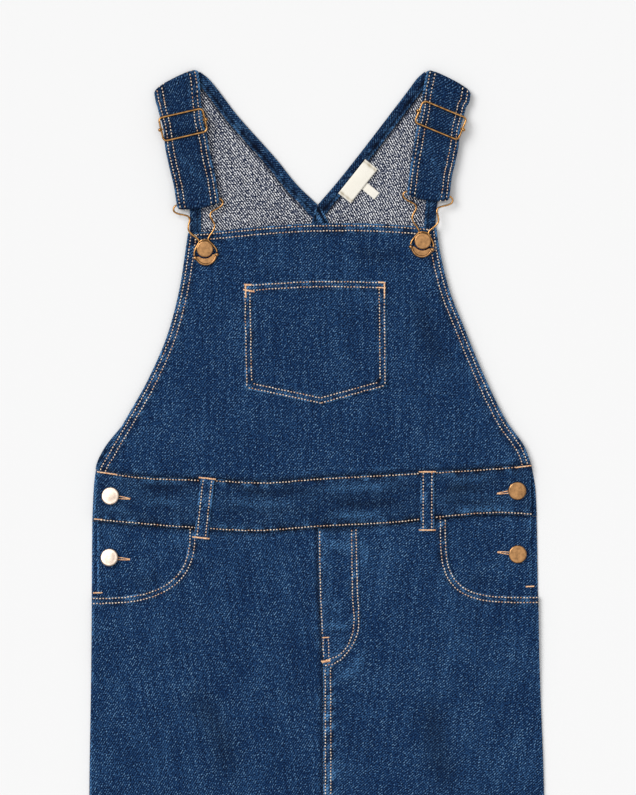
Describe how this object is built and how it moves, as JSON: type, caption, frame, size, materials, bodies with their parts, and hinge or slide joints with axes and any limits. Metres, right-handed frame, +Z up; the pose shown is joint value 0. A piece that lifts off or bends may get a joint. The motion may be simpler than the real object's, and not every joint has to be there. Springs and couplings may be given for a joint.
{
  "type": "kids dungarees, laid flat",
  "caption": "Denim dungarees for a child, laid flat and face up: bib with patch pocket, adjustable straps with sliders and hooks, side buttons, hip pockets, mock fly and straight legs.",
  "frame": {"origin": "middle of the garment's outline on the surface that it lies on", "axes": "+X to the right as seen from the front, +Y from the hems to the shoulders, +Z up from the surface, out of the garment's front"},
  "size_m": [0.3218, 0.9598, 0.0102],
  "materials": {
    "denim": "indigo right-hand twill, matte, worn pale along edges",
    "denim_inside": "undyed weft side of the denim, grey twill",
    "brass": "antique brass, satin",
    "woven_label": "cream woven tape, blank"
  },
  "bodies": {
    "root": {"armhole_band_left": "denim", "armhole_band_right": "denim", "back_bib_left": "denim_inside", "back_bib_right": "denim_inside", "back_leg_left": "denim", "back_leg_right": "denim", "back_waistband": "denim", "belt_loop_left": "denim", "belt_loop_right": "denim", "bib": "denim", "bib_button_left": "brass", "bib_button_right": "brass", "bib_pocket": "denim", "centre_back_fell": "denim", "fly": "denim", "front_leg_left": "denim", "front_leg_right": "denim", "front_waistband": "denim", "hook_plate_left": "brass", "hook_plate_right": "brass", "hook_wire_left": "brass", "hook_wire_right": "brass", "neck_band_left": "denim", "neck_band_right": "denim", "neck_label": "woven_label", "pocket_facing_left": "denim", "pocket_facing_right": "denim", "side_button_lower_left": "brass", "side_button_lower_right": "brass", "side_button_upper_left": "brass", "side_button_upper_right": "brass", "size_tag": "woven_label", "slider_left": "brass", "slider_right": "brass", "strap_left": "denim", "strap_right": "denim"}
  },
  "joints": []
}
